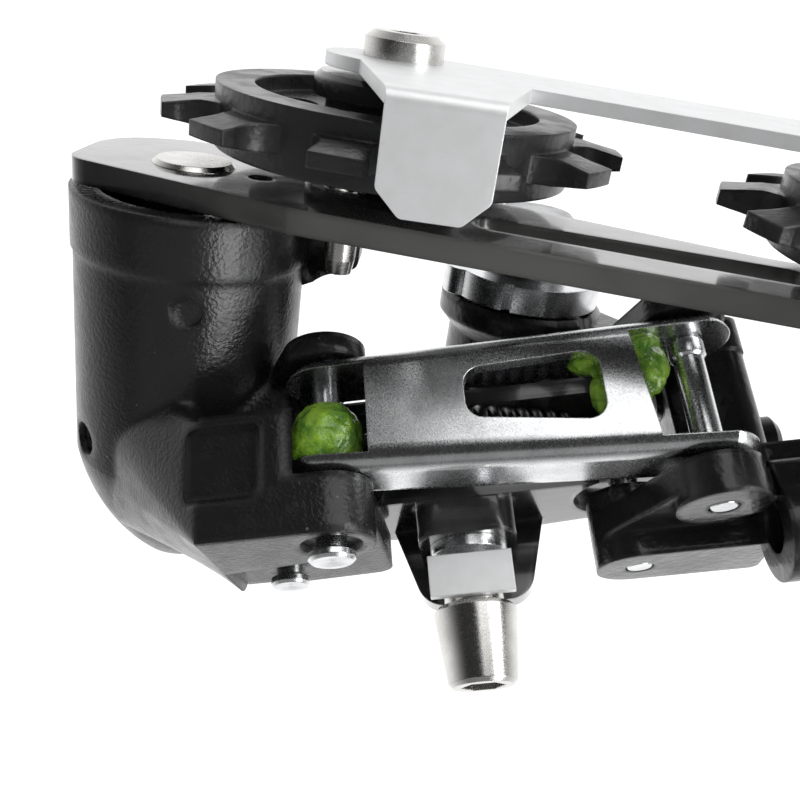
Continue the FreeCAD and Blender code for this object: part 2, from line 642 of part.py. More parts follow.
def outer_link():
    inner_face = OUTER_BACK - OUTER_SKIN
    left, right = CAGE_OUT[0], BRACKET_OUT[0]
    plan = [
        (left - OUTER_EYE_R, SPREAD, OUTER_EYE_R - 0.1), (left + 3, SPREAD - OUTER_EYE_R, 3),
        (right - 2, SPREAD - OUTER_EYE_R, 3), (right + OUTER_EYE_R, SPREAD, 3.0),
        (right, OUTER_BACK - 2.2, 5), ((left + right) / 2, OUTER_BACK + 0.6, 30), (left, OUTER_BACK - 2.6, 5),
    ]
    body = slab(plan, OUTER_BOTTOM, OUTER_TOP)
    eyes = [cyl(OUTER_EYE_R, OUTER_BOTTOM, OUTER_TOP, at) for at in (CAGE_OUT, BRACKET_OUT)]
    body = body.fuse(eyes).removeSplitter()
    trough = slab([
        (left + OUTER_EYE_R + 0.8, -10, 0), (right + 12, -10, 0), (right + 12, SPREAD - 3, 0),
        (right - OUTER_EYE_R - 1, inner_face - 1.0, 3), (left + OUTER_EYE_R + 0.8, inner_face - 1.0, 3),
    ], OUTER_BOTTOM + OUTER_FLANGE, OUTER_TOP - OUTER_FLANGE)
    hook_side = (-10, SPREAD + HOOK_R + RETURN_WIRE)
    hook_room = block((right - 12, right + 12), hook_side, (-HOOK_SLOT / 2, HOOK_SLOT / 2))
    under = cyl(OUTER_EYE_R + 1.0, OUTER_BOTTOM - 1, OUTER_EAR_BOTTOM, BRACKET_OUT)
    skirt = slab([
        (SKIRT_FROM, OUTER_BOTTOM + 2, 0), (SKIRT_FROM + 3.5, SKIRT_BOTTOM, 3),
        (SKIRT_TO - 3.0, SKIRT_BOTTOM, 3), (SKIRT_TO, OUTER_BOTTOM + 2, 0),
    ], -OUTER_BACK, -inner_face + 0.6)
    skirt.rotate(vec(0, 0, 0), vec(1, 0, 0), 90)
    seat = slab([
        (CLAMP_X - 5.2, CLAMP_Y - 4.6, 2.5), (CLAMP_X + 5.2, CLAMP_Y - 4.6, 2.5),
        (CLAMP_X + 5.2, inner_face, 0), (CLAMP_X - 5.2, inner_face, 0),
    ], SEAT_Z, OUTER_BOTTOM + 2)
    body = body.cut([trough, hook_room, under]).fuse([skirt, seat]).removeSplitter()
    holes = [cyl(PIN_R + RUN, -40, 40, at) for at in (CAGE_OUT, BRACKET_OUT)]
    bolt_end = OUTER_BOTTOM + OUTER_FLANGE + 1
    bolt_hole = cyl(CLAMP_BOLT_R, SEAT_Z - 1, bolt_end, (CLAMP_X, CLAMP_Y))
    return moved(body.cut(holes + [bolt_hole]), LINKS)


def cable_washer():
    low = SEAT_Z - WASHER_THICK
    profile = [
        (CLAMP_BOLT_R + RUN, low), (WASHER_R - 1.2, low), (WASHER_R, low + 0.9), (WASHER_R, SEAT_Z),
        (CLAMP_BOLT_R + RUN, SEAT_Z),
    ]
    return moved(turned(profile, (CLAMP_X, CLAMP_Y)), LINKS)


def cable_plate():
    top = SEAT_Z - WASHER_THICK
    half = CLAMP_PLATE / 2
    left, right, near = CLAMP_X - half, CLAMP_X + half, CLAMP_Y - half
    corners = [(left, near, 0.8), (right, near, 0.8), (right, CLAMP_Y + 3, 0.8), (left, CLAMP_Y + 3, 0.8)]
    plate = slab(corners, top - CLAMP_SHEET, top)
    fold = block((left, right), (near, near + CLAMP_SHEET), (top - CLAMP_FOLD, top))
    body = plate.fuse(fold).removeSplitter()
    hole = cyl(CLAMP_BOLT_R + RUN, top - 3, top + 1, (CLAMP_X, CLAMP_Y))
    return moved(body.cut(hole), LINKS)


def cable_bolt():
    seat = SEAT_Z - WASHER_THICK - CLAMP_SHEET
    neck_r = CLAMP_HEAD_R[1] - 0.4
    neck_end = seat - CLAMP_NECK
    end = neck_end - CLAMP_HEAD_LENGTH
    top = OUTER_BOTTOM + OUTER_FLANGE + 0.4
    profile = [
        (0, end), (CLAMP_HEAD_R[1] - 0.4, end), (CLAMP_HEAD_R[1], end + 0.4),
        (CLAMP_HEAD_R[0], neck_end - 0.5), (CLAMP_HEAD_R[0] - 0.5, neck_end), (neck_r, neck_end),
        (neck_r, seat), (CLAMP_BOLT_R, seat), (CLAMP_BOLT_R, top), (0, top),
    ]
    body = turned(profile, (CLAMP_X, CLAMP_Y))
    socket = hexagon(CLAMP_SOCKET, end, end + 3.5, (CLAMP_X, CLAMP_Y))
    return moved(body.cut(socket), LINKS)


def return_spring():
    """Extension spring from the inner cage-side pin to the outer bracket pin, with a hook at each end."""
    span = math.hypot(*BRACKET_OUT)
    first = (span - RETURN_TURNS * RETURN_PITCH) / 2
    last = span - first
    leg = first - HOOK_R
    inward = RETURN_R / 2
    steps = [(vec(0, 0, 0), 270), leg, (vec(0, 0, leg), 90), (vec(inward, 0, first), 180)]
    steps += half_turns(first, RETURN_TURNS, RETURN_PITCH)
    steps += [(vec(inward, 0, last), 180), (vec(0, 0, last + HOOK_R), 90), leg, (vec(0, 0, span), 270)]
    spring = wound((0, 0, HOOK_R), (0, 1, 0), RETURN_WIRE / 2, steps)
    return moved(moved(spring, frame((0, 0, 0), (0, 0, 1), (*BRACKET_OUT, 0))), LINKS)


# Cage knuckle

def drum():
    rim_low = OUTER_BACK_FACE - GAP - RIM_DEPTH
    top = OUTER_BACK_FACE - GAP
    bulge = vec(DRUM_BULGE[0], 0, DRUM_BULGE[1])
    points = [vec(0, 0, DRUM_END), vec(DRUM_FLAT_R, 0, DRUM_END)]
    corner = Part.Arc(points[1], bulge, vec(DRUM_R, 0, DRUM_SHOULDER)).toShape()
    rest = [
        vec(DRUM_R, 0, DRUM_SHOULDER), vec(DRUM_R, 0, rim_low - 0.3), vec(RIM_R, 0, rim_low),
        vec(RIM_R, 0, top), vec(0, 0, top), points[0],
    ]
    sides = [Part.makeLine(a, b) for a, b in zip(rest, rest[1:])]
    wire = Part.Wire([Part.makeLine(*points), corner] + sides)
    body = Part.Face(wire).revolve(vec(0, 0, 0), vec(0, 0, 1), 360)
    body.translate(vec(PIVOT[0], PIVOT[1], 0))
    return body


def section(corners, x):
    """Rounded outline in the plane at x; its corners are (y, z, radius)."""
    wire = outline(corners)
    wire.Placement = frame((x, 0, 0), (0, 1, 0), (1, 0, 0))
    return wire


def knuckle_bridge():
    """Casting that leads from the drum to the lugs."""
    front, back = -LUG_R[0], SPREAD + LUG_R[1] - 0.8
    low, high = CAGE_LUG_BOTTOM, BRIDGE_TOP
    at_lugs = section([
        (front, low, 0.6), (back, low, 3.5), (back, high, 2.5), (front, high, 1.0),
    ], CAGE_OUT[0] - BRIDGE_ROOT)
    front, back = PIVOT[1] - DRUM_R + 1.4, PIVOT[1] + DRUM_R - 5.0
    low, high = DRUM_END + 3.0, DRUM_END + BRIDGE_HEIGHT
    at_drum = section([(front, low, 9), (back, low, 8), (back, high, 5), (front, high, 6)],
                      PIVOT[0] - BRIDGE_BACK)
    return Part.makeLoft([at_drum, moved(at_lugs, LINKS)], True, True)


def sunk_panel():
    """Cutter for the panel in the bridge's front."""
    (left, low), (right, high) = PANEL
    cutter = slab([(left, low, 1), (right, low, 1), (right, high, 1), (left, high, 1)], 0, 6)
    cutter.rotate(vec(0, 0, 0), vec(1, 0, 0), 90)
    cutter.translate(vec(0, PANEL_DEPTH - LUG_R[0], 0))
    return cutter


def links_pocket():
    """Room that the links' ends sweep between the lugs."""
    low, high = POCKET_BOTTOM, CAGE_LUG_FROM
    eye_room = OUTER_EYE_R + 1.3
    far = 60
    beside = slab([
        (-1, -far, 0), (far, -far, 0), (far, far, 0), (CAGE_OUT[0] - 2, far, 0), (*CAGE_OUT, 0), (-1, -2, 0),
    ], low, high)
    back_slope = 10
    back_edge = polar(CAGE_OUT, eye_room, SHIFT_TURN + back_slope + 90)
    swept = slab([
        (*CAGE_OUT, 0), (*polar(CAGE_OUT, far, SHIFT_TURN + back_slope), 0),
        (*polar(back_edge, far, SHIFT_TURN + back_slope), 0), (*back_edge, 0),
    ], low, high)
    eyes = [cyl(EAR_R[0] + 0.9, low, high, CAGE_IN), cyl(eye_room, low, high, CAGE_OUT)]
    return beside.fuse(eyes + [swept])


def stop_lug():
    """Lug beside the drum that the cage's stop pin comes to rest on."""
    side, end = PIVOT[0] + DRUM_R - 3, STOP[0] + PIN_STOP_R
    top = OUTER_BACK_FACE - GAP - 0.6
    bottom = OUTER_BACK_FACE - PIN_STOP_LENGTH
    front = STOP[1] + PIN_STOP_R + RUN * 4
    lug = slab([(side, top, 0), (side, bottom - STOP_LUG_FALL, 0), (end, bottom, 1.0), (end, top, 1.0)],
               -front - STOP_LUG_THICK, -front)
    lug.rotate(vec(0, 0, 0), vec(1, 0, 0), 90)
    return lug


def outer_lug():
    """Outboard lug at the outer pin, a plate with three round corners."""
    tip, tip_r = OUTER_LUG_TIP[:2], OUTER_LUG_TIP[2]
    low, high = OUTER_LUG_BOTTOM, POCKET_BOTTOM - OUTER_LUG_SUNK
    sides = [
        strap(CAGE_IN, LUG_R[0], CAGE_OUT, LUG_R[1], low, POCKET_BOTTOM),
        strap(CAGE_OUT, LUG_R[1], tip, tip_r, low, high),
        strap(CAGE_IN, LUG_R[0], tip, tip_r, low, high),
    ]
    middle = slab([(*CAGE_IN, 0), (*tip, 0), (*CAGE_OUT, 0)], low, high)
    return middle.fuse(sides).removeSplitter()


def plate_body():
    upper = strap(CAGE_IN, LUG_R[0], CAGE_OUT, LUG_R[1], CAGE_LUG_FROM, CAGE_LUG_TO)
    lower = cyl(LUG_R[0], CAGE_LUG_BOTTOM, POCKET_BOTTOM, CAGE_IN)
    root, back = CAGE_OUT[0] - BRIDGE_ROOT, SPREAD + LUG_R[1] - 1
    low_web = slab([
        (CAGE_IN[0], -LUG_R[0], 0), (CAGE_IN[0], LUG_R[0], 0), (root, OUTER_LUG_FROM, 0),
        (root, -LUG_R[0], 0),
    ], CAGE_LUG_BOTTOM, BRIDGE_TOP)
    back_web = slab([
        (CAGE_IN[0], -LUG_R[0], 0), (CAGE_IN[0], SPREAD * 0.5, 0), (CAGE_OUT[0], back, 0), (root, back, 0),
        (root, -LUG_R[0], 0),
    ], OUTER_LUG_BOTTOM, BRIDGE_TOP)
    high_front, high_root = HIGH_WEB_FRONT, CAGE_OUT[0] - HIGH_WEB_ROOT
    high_web = slab([
        (CAGE_IN[0] - 3, high_front, 0), (CAGE_OUT[0] + 3, SPREAD, 0), (CAGE_OUT[0], back, 0),
        (high_root, back, 0), (high_root, high_front, 0),
    ], BRIDGE_TOP, CAGE_LUG_TO)
    link_parts = (upper, lower, low_web, back_web, high_web, outer_lug())
    cast_parts = [moved(part, LINKS) for part in link_parts]
    body = drum().fuse([knuckle_bridge(), stop_lug()] + cast_parts)
    long = 80
    pin_holes = [moved(cyl(PIN_R, -long, long, at), LINKS) for at in (CAGE_IN, CAGE_OUT)]
    sink = cyl(PIN_SINK_R, CAGE_LUG_BOTTOM - 2, CAGE_LUG_BOTTOM + PIN_SINK, CAGE_IN)
    link_cuts = [moved(cut, LINKS) for cut in (links_pocket(), sunk_panel(), sink)]
    top = OUTER_BACK_FACE
    cavity = cyl(CAVITY_R, CAVITY_END, top, PIVOT)
    bore = cyl(AXLE_R + RUN, AXLE_END - 0.5, top, PIVOT)
    tang_end = CAVITY_END - TANG_BEND - TANG_LENGTH
    tang_hole = cyl(COIL_WIRE / 2 + GAP, tang_end, CAVITY_END, tang_place(1))
    above = cyl(60, OUTER_BACK_FACE - GAP, OUTER_BACK_FACE + 40, PIVOT)
    cuts = [cavity, bore, tang_hole, above, seat_screw_hole(), mould_mark()]
    return body.cut(cuts + link_cuts + pin_holes).removeSplitter()


def radial(radius, inner, outer, height, degrees):
    """Cylinder that points out of the drum at an angle."""
    angle = math.radians(degrees)
    way = vec(math.cos(angle), math.sin(angle))
    start = vec(PIVOT[0], PIVOT[1], height) + way * inner
    return Part.makeCylinder(radius, outer - inner, start, way)


def seat_screw_hole():
    return radial(SEAT_SCREW_R, AXLE_R - 0.5, DRUM_R + 5, SEAT_SCREW_Z, SEAT_SCREW_ANGLE)


def mould_mark():
    return radial(MARK_R, DRUM_R - MARK_DEPTH, DRUM_R + 5, MARK_Z, MARK_ANGLE)


def axle_screw():
    tip_r = 1.1
    tip = radial(tip_r, AXLE_R - 0.7, AXLE_R + 1.2, SEAT_SCREW_Z, SEAT_SCREW_ANGLE)
    shank = radial(SEAT_SCREW_R, AXLE_R + 1.2, DRUM_R - 0.8, SEAT_SCREW_Z, SEAT_SCREW_ANGLE)
    socket = radial(0.9, DRUM_R - 2.6, DRUM_R, SEAT_SCREW_Z, SEAT_SCREW_ANGLE)
    return shank.fuse(tip).cut(socket)


def tang_place(side):
    """Where a tang of the cage spring stands; side is 1 at its knuckle end, -1 at its plate end."""
    return (PIVOT[0] + COIL_R, PIVOT[1] + side * TANG_BEND)


def cage_spring():
    low = CAVITY_END + COIL_WIRE / 2 + GAP
    high = low + COIL_TURNS * COIL_PITCH
    root = low - TANG_BEND - TANG_LENGTH
    steps = [TANG_LENGTH, (vec(COIL_R, 0, low - TANG_BEND), 90)]
    steps += half_turns(low, COIL_TURNS, COIL_PITCH)
    steps += [(vec(COIL_R, 0, high + TANG_BEND), 90), OUTER_BACK_FACE + TANG_LENGTH - high - TANG_BEND]
    coil = wound((COIL_R, TANG_BEND, root), (0, 0, 1), COIL_WIRE / 2, steps)
    coil.translate(vec(PIVOT[0], PIVOT[1], 0))
    return coil


# Cage

def offset(corners, at):
    """Rounded corners moved to a place."""
    return [(at[0] + x, at[1] + y, radius) for x, y, radius in corners]


def outer_plate():
    low, high = OUTER_BACK_FACE, OUTER_FACE
    corners = offset(PLATE_PIVOT_END, PIVOT) + offset(PLATE_TENSION_END, TENSION)
    corners += offset(PLATE_GUIDE_SIDE, GUIDE) + offset(PLATE_BACK, PIVOT)
    plate = slab(corners, low, high)
    near_guide, far_guide = offset(SLOT_LEFT, (GUIDE[0], TENSION[1]))
    slot = slab([near_guide] + offset(SLOT_RIGHT, TENSION) + [far_guide], low - 1, high + 1)
    holes = [cyl(radius, low - 1, high + 1, at) for radius, at in (
        (AXLE_R - 0.8, PIVOT), (PIN_STOP_R - 0.4, STOP), (PULLEY_BOLT_R, GUIDE), (PULLEY_BOLT_R, TENSION),
        (COIL_WIRE / 2 + GAP, tang_place(-1)))]
    return plate.cut([slot] + holes)


def inner_plate():
    low, high = INNER_FACE, INNER_FACE + INNER_PLATE
    strip = strap(GUIDE, INNER_PLATE_R, TENSION, INNER_PLATE_R, low, high)
    middle = GUIDE[0] + TAB_SIDE
    left, right = middle - TAB_WIDTH / 2, middle + TAB_WIDTH / 2
    edge = GUIDE[1] - TAB_REACH - INNER_PLATE
    wing = slab([
        (left, edge, 0), (right, edge, 0), (right + 4, GUIDE[1] - 6, 0), (left - 5, GUIDE[1] - 2, 0),
    ], low, high)
    chamfer = 2.2
    tab = slab([
        (left, high, 0), (left, TAB_END + chamfer, 0.8), (left + chamfer, TAB_END, 0.8),
        (right - chamfer, TAB_END, 0.8), (right, TAB_END + chamfer, 0.8), (right, high, 0),
    ], 0, INNER_PLATE)
    tab.rotate(vec(0, 0, 0), vec(1, 0, 0), 90)
    tab.translate(vec(0, edge + INNER_PLATE, 0))
    body = strip.fuse([wing, tab]).removeSplitter()
    bend = [line for line in body.Edges
            if abs(line.CenterOfMass.y - edge) < 0.01 and abs(line.CenterOfMass.z - high) < 0.01]
    body = body.makeFillet(INNER_PLATE - 0.1, bend)
    holes = [cyl(PULLEY_BOLT_R, low - 1, high + 1, at) for at in (GUIDE, TENSION)]
    return body.cut(holes)


def cage_axle():
    collar_r = AXLE_R + 2.0
    collar_low = OUTER_BACK_FACE - 1.6
    groove_r = AXLE_R - 1.2
    groove_low, groove_high = SEAT_SCREW_Z - 2.0, SEAT_SCREW_Z + 2.0
    rivet_shank = AXLE_R - 0.8
    edge = 0.6
    profile = [
        (0, AXLE_END), (AXLE_R - edge, AXLE_END), (AXLE_R, AXLE_END + edge),
        (AXLE_R, groove_low), (groove_r, groove_low), (groove_r, groove_high), (AXLE_R, groove_high),
        (AXLE_R, collar_low), (collar_r, collar_low), (collar_r, OUTER_BACK_FACE),
        (rivet_shank, OUTER_BACK_FACE), (rivet_shank, OUTER_FACE), (RIVET_R, OUTER_FACE),
        (RIVET_R - 0.5, OUTER_FACE + RIVET_HEAD), (0, OUTER_FACE + RIVET_HEAD),
    ]
    return turned(profile, PIVOT)


def stop_pin():
    shank = PIN_STOP_R - 0.4
    end = OUTER_BACK_FACE - PIN_STOP_LENGTH
    top = OUTER_FACE + RIVET_HEAD * 0.8
    profile = [
        (0, end), (PIN_STOP_R - 0.5, end), (PIN_STOP_R - 0.25, end + 1.5), (PIN_STOP_R, OUTER_BACK_FACE),
        (shank, OUTER_BACK_FACE), (shank, OUTER_FACE), (STOP_RIVET_R, OUTER_FACE), (STOP_RIVET_R - 0.4, top),
        (0, top),
    ]
    return turned(profile, STOP)


# Pulleys and what carries them

def pulley(at):
    half_tooth, half_tip = TOOTH_THICK / 2, TOOTH_TIP_THICK / 2
    pitch_r = CHAIN_PITCH / (2 * math.sin(math.pi / TEETH))
    flank = pitch_r - 2
    bore = BUSH_R + RUN
    disc = turned([
        (bore, -half_tooth), (flank, -half_tooth), (TOOTH_TIP_R, -half_tip), (TOOTH_TIP_R, half_tip),
        (flank, half_tooth), (bore, half_tooth),
    ])
    mouth_x, mouth_y = TOOTH_TIP_R + 2, ROLLER_R + 0.9
    gaps = []
    for k in range(TEETH):
        seat = cyl(ROLLER_R, -RIM_THICK, RIM_THICK, (pitch_r, 0))
        flare = slab([
            (pitch_r, -ROLLER_R, 0), (mouth_x, -mouth_y, 0), (mouth_x, mouth_y, 0), (pitch_r, ROLLER_R, 0),
        ], -RIM_THICK, RIM_THICK)
        gap = seat.fuse(flare)
        gap.rotate(vec(0, 0, 0), vec(0, 0, 1), 360.0 * (k + 0.5) / TEETH)
        gaps.append(gap)
    disc = disc.cut(gaps)
    half_rim, half_hub = RIM_THICK / 2, HUB_THICK / 2
    rim = cyl(RIM_OUTER_R, -half_rim, half_rim).cut(cyl(RIM_INNER_R, -half_rim, half_rim))
    hub = cyl(HUB_R, -half_hub, half_hub)
    body = disc.fuse([rim, hub])
    middle = (RIM_INNER_R + HUB_R) / 2
    spots = [polar((0, 0), middle, 360.0 * k / SPOKE_HOLES) for k in range(SPOKE_HOLES)]
    holes = [cyl(SPOKE_HOLE_R, -RIM_THICK, RIM_THICK, spot) for spot in spots]
    body = body.cut(holes + [cyl(bore, -HUB_THICK, HUB_THICK)]).removeSplitter()
    body.translate(vec(at[0], at[1], MID_PLANE))
    return body


def bush(at):
    return cyl(BUSH_R, OUTER_FACE, INNER_FACE, at).cut(cyl(PULLEY_BOLT_R, OUTER_FACE, INNER_FACE, at))


def dust_cap(at, side):
    """Pressed cap beside the pulley's hub; side is 1 inboard and -1 outboard."""
    outer = CAGE_GAP / 2 - GAP * 2
    inner = outer - CAP_THICK
    lip = CAP_R - 0.9
    profile = [
        (BUSH_R, inner), (lip, inner), (lip, inner - 1.2), (CAP_R, inner - 1.2), (CAP_R, outer - 0.5),
        (CAP_R - 0.6, outer), (BUSH_R, outer),
    ]
    cap = turned([(radius, side * height) for radius, height in profile], at)
    cap.translate(vec(0, 0, MID_PLANE))
    return cap


def pulley_bolt(at):
    top = INNER_FACE + INNER_PLATE
    head = top + PULLEY_HEAD
    profile = [
        (0, OUTER_BACK_FACE), (PULLEY_BOLT_R, OUTER_BACK_FACE), (PULLEY_BOLT_R, top), (PULLEY_HEAD_R, top),
        (PULLEY_HEAD_R, head - 0.7), (PULLEY_HEAD_R - 0.9, head), (0, head),
    ]
    return turned(profile, at).cut(hexagon(PULLEY_SOCKET, top + 0.6, head, at))


def pieces():
    """Every piece by its node's name, in the bench frame."""
    found = {
        "mounting_bolt": mounting_bolt(),
        "stop_plate": stop_plate(),
        "bolt_ring": bolt_ring(),
        "bracket_body": bracket_body(),
        "bracket_pin_inner": flush_pin(BRACKET_IN, LOWER_TO - LOWER_BOSS[0], UPPER_TO + 0.6, COLLAR_TOP),
        "bracket_pin_outer": flush_pin(BRACKET_OUT, LOWER_TO - LOWER_BOSS[1], UPPER_TO + 0.6),
        "cable_adjuster": cable_adjuster(),
        "limit_screw_high": limit_screw(LIMIT_Z[0], LIMIT_SUNK[0]),
        "limit_screw_low": limit_screw(LIMIT_Z[1], LIMIT_SUNK[1]),
        "angle_screw": angle_screw(),
        "inner_link": inner_link(),
        "outer_link": outer_link(),
        "cable_washer": cable_washer(),
        "cable_plate": cable_plate(),
        "cable_bolt": cable_bolt(),
        "return_spring": return_spring(),
        "plate_body": plate_body(),
        "cage_pin_inner": headed_pin(CAGE_IN, CAGE_LUG_BOTTOM, CAGE_LUG_TO, PIN_HEAD_R[0]),
        "cage_pin_outer": headed_pin(CAGE_OUT, OUTER_LUG_BOTTOM, CAGE_LUG_TO, PIN_HEAD_R[1]),
        "axle_screw": axle_screw(),
        "cage_spring": cage_spring(),
        "outer_plate": outer_plate(),
        "inner_plate": inner_plate(),
        "cage_axle": cage_axle(),
        "stop_pin": stop_pin(),
    }
    for name, at in (("guide", GUIDE), ("tension", TENSION)):
        found[name + "_pulley"] = pulley(at)
        found[name + "_bush"] = bush(at)
        found[name + "_cap_inner"] = dust_cap(at, 1)
        found[name + "_cap_outer"] = dust_cap(at, -1)
        found[name + "_bolt"] = pulley_bolt(at)
    return found


os.makedirs("parts", exist_ok=True)
for node, shape in pieces().items():
    moved(shape, BIKE).exportStep("parts/" + node + ".step")
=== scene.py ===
import bpy
import json
import math
from mathutils import Matrix, Vector


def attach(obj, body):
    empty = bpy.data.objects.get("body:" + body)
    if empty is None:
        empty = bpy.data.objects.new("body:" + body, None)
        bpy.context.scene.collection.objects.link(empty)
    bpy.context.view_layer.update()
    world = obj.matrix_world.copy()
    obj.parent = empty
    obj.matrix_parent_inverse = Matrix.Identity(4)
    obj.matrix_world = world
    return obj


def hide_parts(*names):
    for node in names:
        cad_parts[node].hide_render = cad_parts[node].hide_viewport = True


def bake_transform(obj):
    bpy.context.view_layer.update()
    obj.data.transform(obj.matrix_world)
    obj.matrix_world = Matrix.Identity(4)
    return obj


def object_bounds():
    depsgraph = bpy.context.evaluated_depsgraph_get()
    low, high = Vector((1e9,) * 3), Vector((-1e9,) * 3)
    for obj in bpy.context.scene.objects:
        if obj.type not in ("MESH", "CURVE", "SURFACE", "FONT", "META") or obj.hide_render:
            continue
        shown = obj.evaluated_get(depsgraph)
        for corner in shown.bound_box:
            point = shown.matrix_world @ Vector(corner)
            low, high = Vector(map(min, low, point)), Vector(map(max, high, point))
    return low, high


# Rear derailleur, metres, X forward, Y inboard, Z up.

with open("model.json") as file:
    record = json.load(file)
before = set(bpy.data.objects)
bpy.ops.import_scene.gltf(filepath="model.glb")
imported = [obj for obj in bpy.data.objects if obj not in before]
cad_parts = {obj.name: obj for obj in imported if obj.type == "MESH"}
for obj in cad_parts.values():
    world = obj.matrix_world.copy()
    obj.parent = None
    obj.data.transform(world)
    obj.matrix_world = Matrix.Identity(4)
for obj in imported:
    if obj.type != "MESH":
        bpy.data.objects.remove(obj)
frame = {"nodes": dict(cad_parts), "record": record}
cad_low, cad_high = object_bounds()

MM = 0.001
WHITE = (1.0, 1.0, 1.0, 1.0)

# Camera, fitted to the photograph's 800 by 800 frame
CAMERA_PLACE = Vector((-56.80, 30.40, -94.19)) * MM
CAMERA_RIGHT = Vector((-0.7428, 0.1292, 0.6569))
CAMERA_UP = Vector((0.3699, 0.8968, 0.2418))
CAMERA_AHEAD = Vector((0.5578, -0.4226, 0.7139))
LENS = 40.5
SENSOR = 36.0
CLIP_NEAR = 0.001
CLIP_FAR = 20.0

# White tent round the object
SURROUND = 1.2             # brightness of the white tent
TENT_DARK = 0.03           # brightness where the tent is open round the camera
TENT_OPEN = 0.62           # cosine from the camera where the tent is fully open
TENT_CLOSED = -0.75        # cosine from the camera where the tent is fully white

# Softboxes: place to the right, up and back from the object's middle as the camera sees it, size and watts
SOFTBOXES = {
    "strip softbox": ((0.42, -0.10, 0.32), (0.26, 0.9), 4.2),
    "top softbox": ((0.18, 0.42, 0.38), (0.56, 0.50), 1.55),
    "low fill": ((-0.05, -0.38, 0.40), (0.9, 0.35), 0.25),
}

# Floor
FLOOR_DROP = 0.120         # floor below the lowest piece at rest, clear of the cage's swing
FLOOR_SIZE = 4.0
FLOOR_GRAIN = 40.0
FLOOR_GREY = (0.80, 0.80, 0.80, 1.0)
FLOOR_PALE = (0.84, 0.84, 0.84, 1.0)
FLOOR_ROUGHNESS = 0.7

# Springs
MERGE_DISTANCE = 0.000002
SMOOTH_ANGLE = math.radians(40)

# Grease: middles and radii of the lumps in the link frame, millimetres
CAGE_PIN_GREASE = (
    ((0.0, -0.6, -1.8), (3.75, 3.7, 4.1)),
    ((-1.0, -1.0, -3.2), (2.8, 2.8, 2.4)),
)
BRACKET_PIN_GREASE = (
    ((32.3, -1.2, 2.4), (2.1, 1.7, 3.2)),
    ((31.8, -1.6, 4.4), (2.3, 1.6, 1.7)),
    ((30.0, -0.9, 0.4), (2.6, 1.5, 3.6)),
    ((27.6, -1.4, -0.6), (1.4, 1.3, 2.6)),
    ((26.6, -1.6, 3.0), (2.2, 1.3, 1.1)),
)
GREASE_VOXEL = 0.22
GREASE_CREASE = 0.6        # height of the creases
GREASE_FOLD = 1.1          # width of the creases

# Colours of the finishes
BLACK_CAST = (0.006, 0.006, 0.0065, 1.0)
BLACK_LACQUER = (0.004, 0.004, 0.0045, 1.0)
BLACK_MOULDING = (0.009, 0.009, 0.010, 1.0)
# dust specks and the grey veil blend towards this grey; on the black lacquer the veil is raised and is
# painted sheen as well as dust
DUST_AND_SHEEN_GREY = (0.16, 0.16, 0.15, 1.0)
ZINC_PALE = (0.80, 0.81, 0.82, 1.0)
ZINC_DULL = (0.52, 0.53, 0.54, 1.0)
ZINC_SATIN = (0.72, 0.72, 0.71, 1.0)
NICKEL_PALE = (0.72, 0.71, 0.69, 1.0)
NICKEL_DULL = (0.52, 0.51, 0.48, 1.0)
OILED_STEEL = (0.09, 0.09, 0.095, 1.0)
OILED_DULL = (0.03, 0.03, 0.032, 1.0)
# two grease greens: the lighter goes on the fold ridges as painted highlight, the deeper in the creases as
# painted shade, over the grease's own uneven green
GREASE_GREEN_PAINTED_HIGHLIGHT = (0.17, 0.29, 0.025, 1.0)
GREASE_GREEN_PAINTED_SHADE = (0.045, 0.12, 0.01, 1.0)

# Relief of the finishes, metres
COAT_DEPTH = 0.00012
PLATING_DEPTH = 0.00006
PLATING_EDGE = 0.00015     # radius to which plated edges look rounded
GREASE_DEPTH = 0.0008
GREASE_EDGE = 0.0001
EDGE_SAMPLES = 6

# Strength of the marks on the finishes
SPECK_COVER = 0.35
CLOUD_COVER = 0.6
SCRATCH_COVER = 0.5
PLATING_GRAIN = 5200.0


def joint_named(name):
    for joint in frame["record"]["behaviour"]["joints"]:
        if joint["name"] == name:
            return joint
    raise KeyError(name)


def placement(across, along, out, place):
    """Matrix with the three directions as its axes and the place as its origin."""
    return Matrix((
        (across.x, along.x, out.x, place.x),
        (across.y, along.y, out.y, place.y),
        (across.z, along.z, out.z, place.z),
        (0.0, 0.0, 0.0, 1.0),
    ))


# Link frame: origin halfway along the inner cage-side pin, x along the links, z inboard along the pins
CAGE_PIN = Vector(joint_named("knuckle_pivot")["pos_m"])
BRACKET_PIN = Vector(joint_named("shift")["pos_m"])
PIN_LINE = Vector(joint_named("shift")["axis"]).normalized()
LINK_LINE = (BRACKET_PIN - CAGE_PIN).normalized()
DEPTH_LINE = PIN_LINE.cross(LINK_LINE).normalized()
LINKS = placement(LINK_LINE, DEPTH_LINE, PIN_LINE, CAGE_PIN)


# Node helpers

def add_node(tree, kind, **settings):
    made = tree.nodes.new(kind)
    for key, value in settings.items():
        setattr(made, key, value)
    return made


def set_inputs(made, **values):
    for key, value in values.items():
        made.inputs[key.replace("_", " ")].default_value = value


def new_group(name, inputs, outputs):
    """Node group with named sockets; inputs hold (kind, default), outputs hold the kind."""
    tree = bpy.data.node_groups.new(name, "ShaderNodeTree")
    for label, (kind, default) in inputs.items():
        socket = tree.interface.new_socket(label, in_out="INPUT", socket_type=kind)
        if default is not None:
            socket.default_value = default
    for label, kind in outputs.items():
        tree.interface.new_socket(label, in_out="OUTPUT", socket_type=kind)
    return tree, add_node(tree, "NodeGroupInput"), add_node(tree, "NodeGroupOutput")


def noise(tree, vector, scale, detail=2.0, roughness=0.5):
    made = add_node(tree, "ShaderNodeTexNoise")
    set_inputs(made, Detail=detail, Roughness=roughness)
    tree.links.new(vector, made.inputs["Vector"])
    if isinstance(scale, float):
        made.inputs["Scale"].default_value = scale
    else:
        tree.links.new(scale, made.inputs["Scale"])
    return made.outputs["Fac"]


